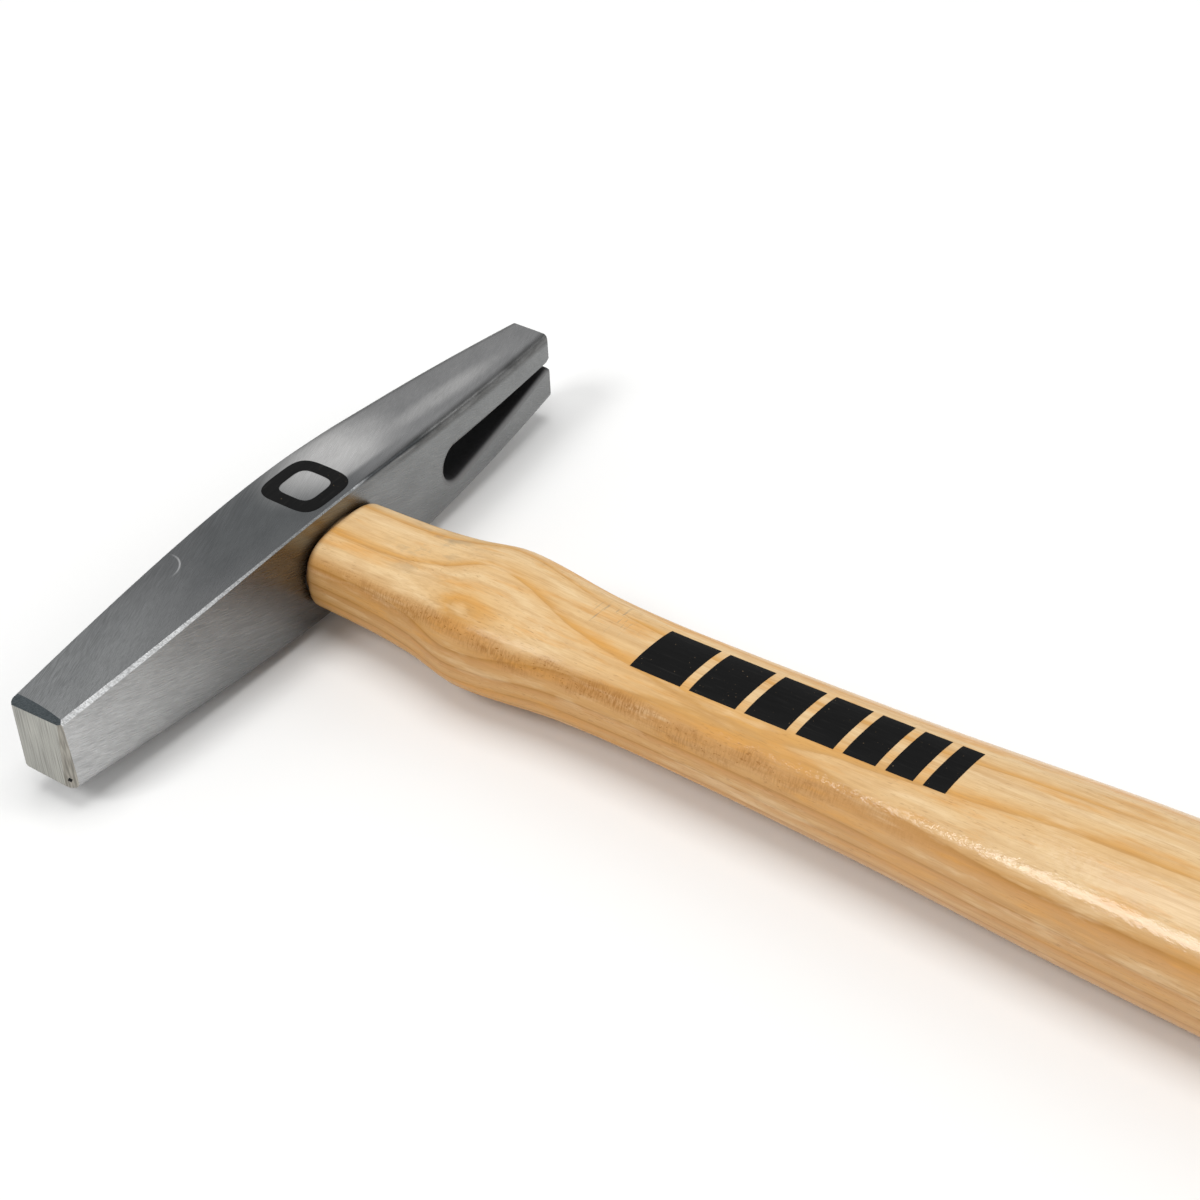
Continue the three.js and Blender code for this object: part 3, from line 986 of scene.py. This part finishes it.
def bar_print_tree(handle):
    """Geometry nodes that lay a row of slanted, shrinking bars on the handle's upper side."""
    tree = bpy.data.node_groups.new("bar_print", "GeometryNodeTree")
    tree.interface.new_socket("Geometry", in_out="INPUT", socket_type="NodeSocketGeometry")
    sizes = ("Start", "Height", "First bar", "Shrink", "Gap", "Slant", "Thickness")
    for name in sizes:
        tree.interface.new_socket(name, in_out="INPUT", socket_type="NodeSocketFloat")
    tree.interface.new_socket("Bars", in_out="INPUT", socket_type="NodeSocketInt")
    tree.interface.new_socket("Ink", in_out="INPUT", socket_type="NodeSocketMaterial")
    tree.interface.new_socket("Geometry", in_out="OUTPUT", socket_type="NodeSocketGeometry")
    given = node(tree, "NodeGroupInput").outputs

    line = node(tree, "GeometryNodeMeshLine", {"Count": given["Bars"]})
    index = node(tree, "GeometryNodeInputIndex").outputs["Index"]
    pitch = maths(tree, "ADD", given["First bar"], given["Gap"])
    drift = maths(tree, "MULTIPLY", maths(tree, "POWER", index, 2.0), given["Shrink"])
    bar_start = maths(tree, "SUBTRACT", maths(tree, "MULTIPLY", index, pitch),
                      maths(tree, "DIVIDE", drift, 2.0))
    middle = maths(tree, "ADD", bar_start, maths(tree, "DIVIDE", given["First bar"], 2.0))
    centre = node(tree, "ShaderNodeCombineXYZ", {
        "X": EYE.x * MM,
        "Y": maths(tree, "SUBTRACT", given["Start"], middle),
        "Z": 1.0,
    })
    spread = node(tree, "GeometryNodeSetPosition", {
        "Geometry": line.outputs["Mesh"], "Position": centre.outputs["Vector"],
    })
    width = maths(tree, "SUBTRACT", given["First bar"], maths(tree, "MULTIPLY", index, given["Shrink"]))
    bar = node(tree, "GeometryNodeMeshGrid", {
        "Size X": 1.0, "Size Y": 1.0, "Vertices X": 25, "Vertices Y": 17,
    })
    placed_bars = node(tree, "GeometryNodeInstanceOnPoints", {
        "Points": spread.outputs["Geometry"],
        "Instance": bar.outputs["Mesh"],
        "Scale": node(tree, "ShaderNodeCombineXYZ", {
            "X": given["Height"], "Y": width, "Z": 1.0,
        }).outputs["Vector"],
    })
    bars = node(tree, "GeometryNodeRealizeInstances", {"Geometry": placed_bars.outputs["Instances"]})
    place = node(tree, "GeometryNodeInputPosition").outputs["Position"]
    across = node(tree, "ShaderNodeSeparateXYZ", {"Vector": place}).outputs["X"]
    lean = maths(tree, "MULTIPLY", maths(tree, "SUBTRACT", across, EYE.x * MM), given["Slant"])
    leaned = node(tree, "GeometryNodeSetPosition", {
        "Geometry": bars.outputs["Geometry"],
        "Offset": node(tree, "ShaderNodeCombineXYZ", {"Y": lean}).outputs["Vector"],
    })
    surface = node(tree, "GeometryNodeObjectInfo", {"Object": handle}, transform_space="RELATIVE")
    hit = node(tree, "GeometryNodeRaycast", {
        "Target Geometry": surface.outputs["Geometry"],
        "Ray Direction": (0, 0, -1),
        "Ray Length": 2.0,
    })
    laid = node(tree, "GeometryNodeSetPosition", {
        "Geometry": leaned.outputs["Geometry"], "Position": hit.outputs["Hit Position"],
    })
    film = node(tree, "GeometryNodeExtrudeMesh", {
        "Mesh": laid.outputs["Geometry"],
        "Offset Scale": given["Thickness"],
        "Individual": False,
    }, mode="FACES")
    underside = node(tree, "GeometryNodeFlipFaces", {"Mesh": laid.outputs["Geometry"]})
    both = node(tree, "GeometryNodeJoinGeometry")
    for part in (film.outputs["Mesh"], underside.outputs["Mesh"]):
        tree.links.new(part, both.inputs[0])
    closed = node(tree, "GeometryNodeMergeByDistance", {
        "Geometry": both.outputs["Geometry"], "Distance": 1e-6,
    })
    real = node(tree, "GeometryNodeRealizeInstances", {"Geometry": closed.outputs["Geometry"]})
    inked = node(tree, "GeometryNodeSetMaterial", {
        "Geometry": real.outputs["Geometry"], "Material": given["Ink"],
    })
    node(tree, "NodeGroupOutput", {"Geometry": inked.outputs["Geometry"]})
    return tree


def make_handle_print(handle):
    tree = bar_print_tree(handle)
    made = bpy.data.objects.new("handle_bars_print", bpy.data.meshes.new("handle_bars_print"))
    bpy.context.scene.collection.objects.link(made)
    modifier = made.modifiers.new("bars", "NODES")
    modifier.node_group = tree
    values = {
        "Start": (EYE.y + PRINT_START) * MM,
        "Height": PRINT_HEIGHT * MM,
        "First bar": FIRST_BAR * MM,
        "Shrink": BAR_SHRINK * MM,
        "Gap": BAR_GAP * MM,
        "Slant": BAR_SLANT,
        "Thickness": INK_THICKNESS * MM,
        "Bars": BAR_COUNT,
        "Ink": black_ink("black_ink_on_wood", (0.3, 6, 0.3)),
    }
    for item in tree.interface.items_tree:
        if item.in_out == "INPUT" and item.name in values:
            modifier[item.identifier] = values[item.name]
    baked(made)
    shade(made)
    return made


MARK_CENTRE = (0.5, -0.6)
MARK_HALF = 5.6
MARK_INSIDE = 3.3
MARK_SQUARENESS = 4


def make_cheek_mark():
    """A plain rounded-square frame printed on the upper cheek."""
    around, steps = 96, 10
    rings = []
    for lift in (INK_THICKNESS, 0):
        spans = [lerp(MARK_INSIDE, MARK_HALF, i / steps) for i in range(steps + 1)]
        for half in spans if lift else reversed(spans):
            ring = oval_ring(0, half, half, MARK_SQUARENESS, around)
            rings.append([
                (MARK_CENTRE[0] + x, MARK_CENTRE[1] + y,
                 cheek_height(MARK_CENTRE[0] + x, MARK_CENTRE[1] + y) + lift)
                for x, _, y in ring
            ])
    shell = bmesh.new()
    grid = [[shell.verts.new(point) for point in ring] for ring in rings]
    for ring, after in zip(grid, grid[1:] + grid[:1]):
        for k in range(around):
            following = (k + 1) % around
            shell.faces.new((ring[k], ring[following], after[following], after[k]))
    bmesh.ops.recalc_face_normals(shell, faces=shell.faces)
    made = make_object("cheek_mark_print", shell, [black_ink("black_ink_on_steel", (4, 0.4, 0.4))])
    shade(made)
    return made


# ---------------------------------------------------------------- pieces
head = make_head()
handle = make_handle()
wood_wedge = make_wood_wedge()
steel_wedge = make_steel_wedge()
handle_print = make_handle_print(handle)
cheek_mark = make_cheek_mark()

for piece in (head, handle, wood_wedge, steel_wedge, handle_print, cheek_mark):
    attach(piece, "root")

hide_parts("head")
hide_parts("handle")
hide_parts("wood_wedge")
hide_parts("steel_wedge")


# ---------------------------------------------------------------- floor, light and camera
FLOOR_SIZE = 12
LIGHT_AIM = (0, -60, 0)
LIGHT_DISTANCE = 2.4
SKY_STRENGTH = 0.86


def make_floor():
    """A plain pale table top under the hammer."""
    material, tree, shader = new_material("matt_white_table", Roughness=0.8)
    shader.inputs["Base Color"].default_value = linear("#f4f4f3")
    bpy.ops.mesh.primitive_plane_add(size=FLOOR_SIZE)
    floor = bpy.context.object
    floor.name = "floor"
    floor.data.materials.append(material)


def make_world():
    """A soft studio: pale at the horizon and half way up, and greyer overhead."""
    world = bpy.data.worlds.new("studio")
    bpy.context.scene.world = world
    world.use_nodes = True
    tree = world.node_tree
    tree.nodes.clear()
    direction = node(tree, "ShaderNodeTexCoord").outputs["Generated"]
    height = node(tree, "ShaderNodeSeparateXYZ", {"Vector": direction}).outputs["Z"]
    sky = ramp(tree, height, [
        (0.0, "#cccccc"),
        (0.25, "#a4a4a4"),
        (0.47, "#d4d4d4"),
        (0.62, "#c2c3c5"),
        (0.8, "#a6a6a6"),
        (1.0, "#b4b4b4"),
    ])
    background = node(tree, "ShaderNodeBackground", {"Color": sky, "Strength": SKY_STRENGTH})
    node(tree, "ShaderNodeOutputWorld", {"Surface": background.outputs["Background"]})


def make_light(name, direction, size, power):
    """A square softbox that faces the hammer from a direction, in metres and watts."""
    lamp = bpy.data.lights.new(name, "AREA")
    lamp.shape = "SQUARE"
    lamp.size = size
    lamp.energy = power
    made = bpy.data.objects.new(name, lamp)
    made.location = placed(LIGHT_AIM) + Vector(direction).normalized() * LIGHT_DISTANCE
    made.rotation_mode = "QUATERNION"
    made.rotation_quaternion = Vector(direction).to_track_quat("Z", "Y")
    made.visible_camera = False
    bpy.context.scene.collection.objects.link(made)


CAMERA_PLACE = (-215.3, -221.0, 231.6)
CAMERA_AZIMUTH = -52.6
CAMERA_ELEVATION = 39.0
CAMERA_ROLL = -2.97
CAMERA_LENS = 74.2


def make_camera():
    azimuth, elevation = math.radians(CAMERA_AZIMUTH), math.radians(CAMERA_ELEVATION)
    back = Vector((
        math.sin(azimuth) * math.cos(elevation),
        -math.cos(azimuth) * math.cos(elevation),
        math.sin(elevation),
    ))
    lens = bpy.data.cameras.new("camera")
    lens.lens = CAMERA_LENS
    lens.clip_start = 0.01
    camera = bpy.data.objects.new("camera", lens)
    level = back.to_track_quat("Z", "Y").to_matrix()
    roll = Matrix.Rotation(math.radians(CAMERA_ROLL), 3, "Z")
    camera.matrix_world = Matrix.Translation(placed(CAMERA_PLACE)) @ (level @ roll).to_4x4()
    bpy.context.scene.collection.objects.link(camera)
    bpy.context.scene.camera = camera


make_floor()
make_world()
make_light("key_softbox", (-0.62, 0.25, 0.75), 0.7, 18)
make_light("overhead_softbox", (0, 0, 1), 1.6, 28)
make_light("front_softbox", (0.6, -0.68, 0.52), 1.3, 12)
make_camera()
bpy.context.scene.view_settings.view_transform = "Standard"
